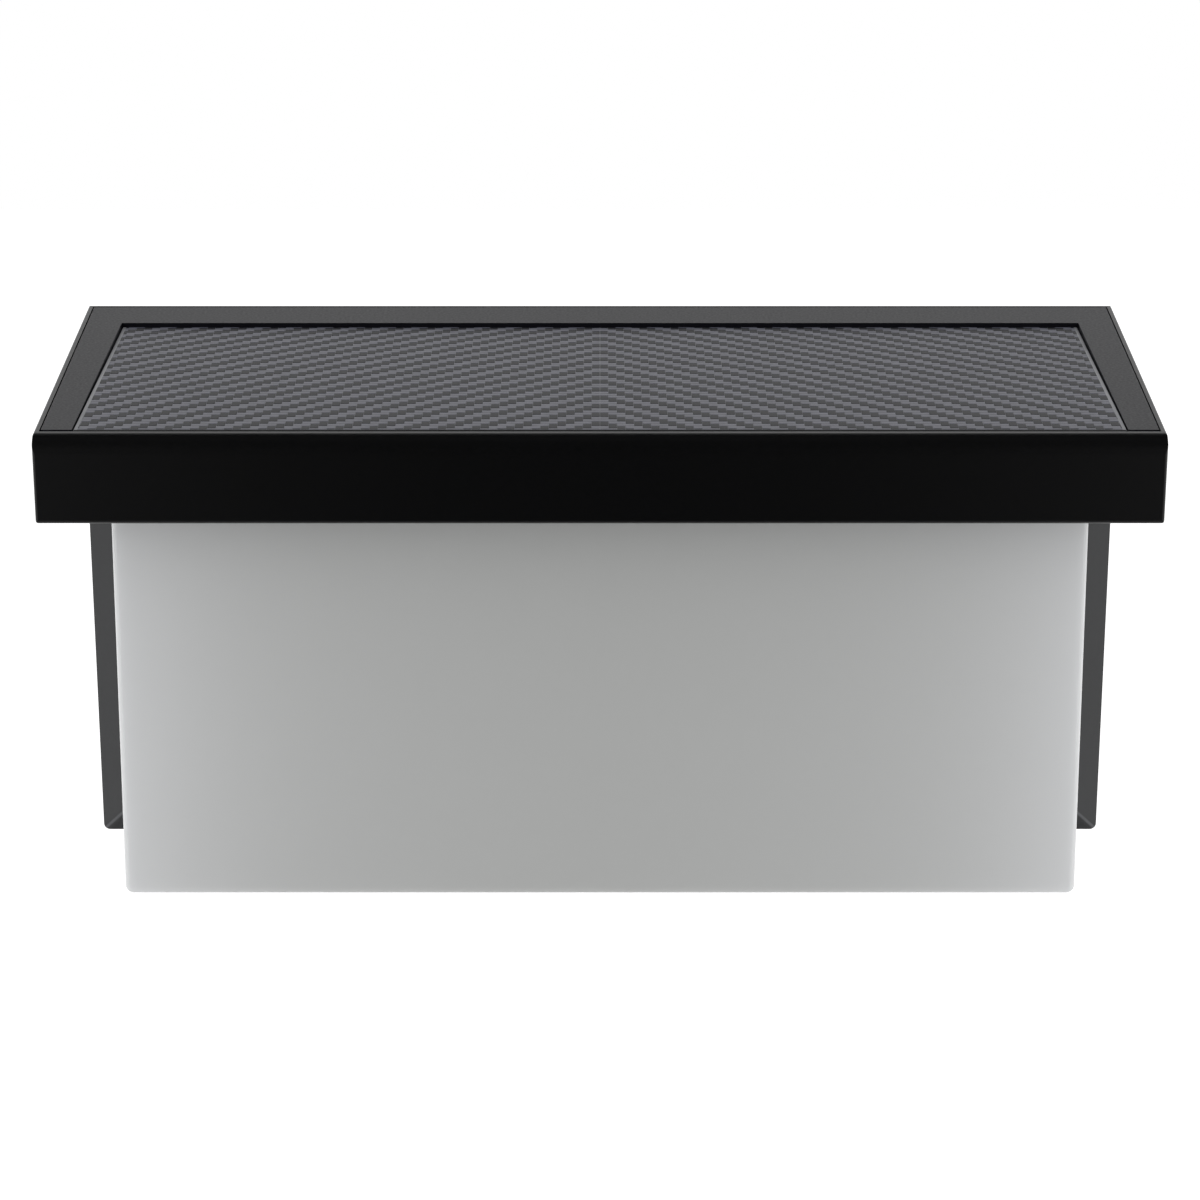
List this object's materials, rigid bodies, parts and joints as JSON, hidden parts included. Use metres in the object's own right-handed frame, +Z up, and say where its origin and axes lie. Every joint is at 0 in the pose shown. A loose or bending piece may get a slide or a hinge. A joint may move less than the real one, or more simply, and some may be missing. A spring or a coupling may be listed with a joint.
{
  "type": "solar fence light",
  "caption": "Wall-mounted solar fence light: black hood with a solar panel on top, opal diffuser box beneath it and a bevelled rear housing with keyholes.",
  "frame": {"origin": "midway between the two keyholes' entry holes, on the back face that lies against the wall", "axes": "+X along the wall, +Y into the wall, +Z up; the light faces -Y"},
  "size_m": [0.16, 0.0672, 0.0834],
  "materials": {
    "hood_plastic": "fine satin moulded black ABS",
    "frame_plastic": "satin moulded black ABS",
    "panel_film": "embossed clear film with a slanted weave over dark cells",
    "silicon_cells": "polished dark silicon",
    "circuit_board": "solder mask",
    "foam_tape": "black foam",
    "housing_plastic": "satin moulded black ABS",
    "opal_plastic": "opal white polycarbonate, smooth satin",
    "silicone": "soft grey silicone",
    "white_plastic": "matt white ABS",
    "white_board": "white solder mask",
    "lamp_package": "yellow phosphor in a white package",
    "zinc_steel": "zinc plated",
    "cover_plastic": "spark-textured black ABS",
    "battery_sleeve": "plain shrink sleeve",
    "cradle_plastic": "moulded black plastic",
    "contact_metal": "nickel plated spring steel",
    "chip_plastic": "moulded epoxy",
    "ferrite": "ground ferrite",
    "capacitor_can": "drawn can",
    "socket_plastic": "natural nylon",
    "button_rubber": "matt silicone rubber",
    "red_lead": "PVC insulation",
    "black_lead": "PVC insulation"
  },
  "bodies": {
    "light": {"hood": "hood_plastic", "top_frame": "frame_plastic", "solar_cover": "panel_film", "solar_cells": "silicon_cells", "panel_board": "circuit_board", "panel_tape": "foam_tape", "rear_housing": "housing_plastic", "diffuser": "opal_plastic", "diffuser_seal": "silicone", "reflector": "white_plastic", "lamp_board": "white_board", "lamps": "lamp_package", "lamp_screws": "zinc_steel", "back_cover": "cover_plastic", "back_seal": "silicone", "back_screws": "zinc_steel", "hood_screws": "zinc_steel", "grommet": "silicone", "battery": "battery_sleeve", "battery_pad": "foam_tape", "battery_cradle": "cradle_plastic", "positive_contact": "contact_metal", "negative_contact": "contact_metal", "control_board": "circuit_board", "board_screws": "zinc_steel", "charge_chip": "chip_plastic", "power_inductor": "ferrite", "capacitor": "capacitor_can", "lead_sockets": "socket_plastic", "switch_body": "chip_plastic", "panel_leads": "red_lead", "battery_leads": "black_lead", "lamp_leads": "red_lead"},
    "button": {"push_button": "button_rubber", "switch_plunger": "socket_plastic"}
  },
  "joints": [
    {"name": "button_press", "type": "slide", "parent": "light", "child": "button", "axis": [0, 0, 1], "range_m": [0, 0.0008], "stiffness_N_per_m": 1500, "springref_m": -0.0006}
  ]
}
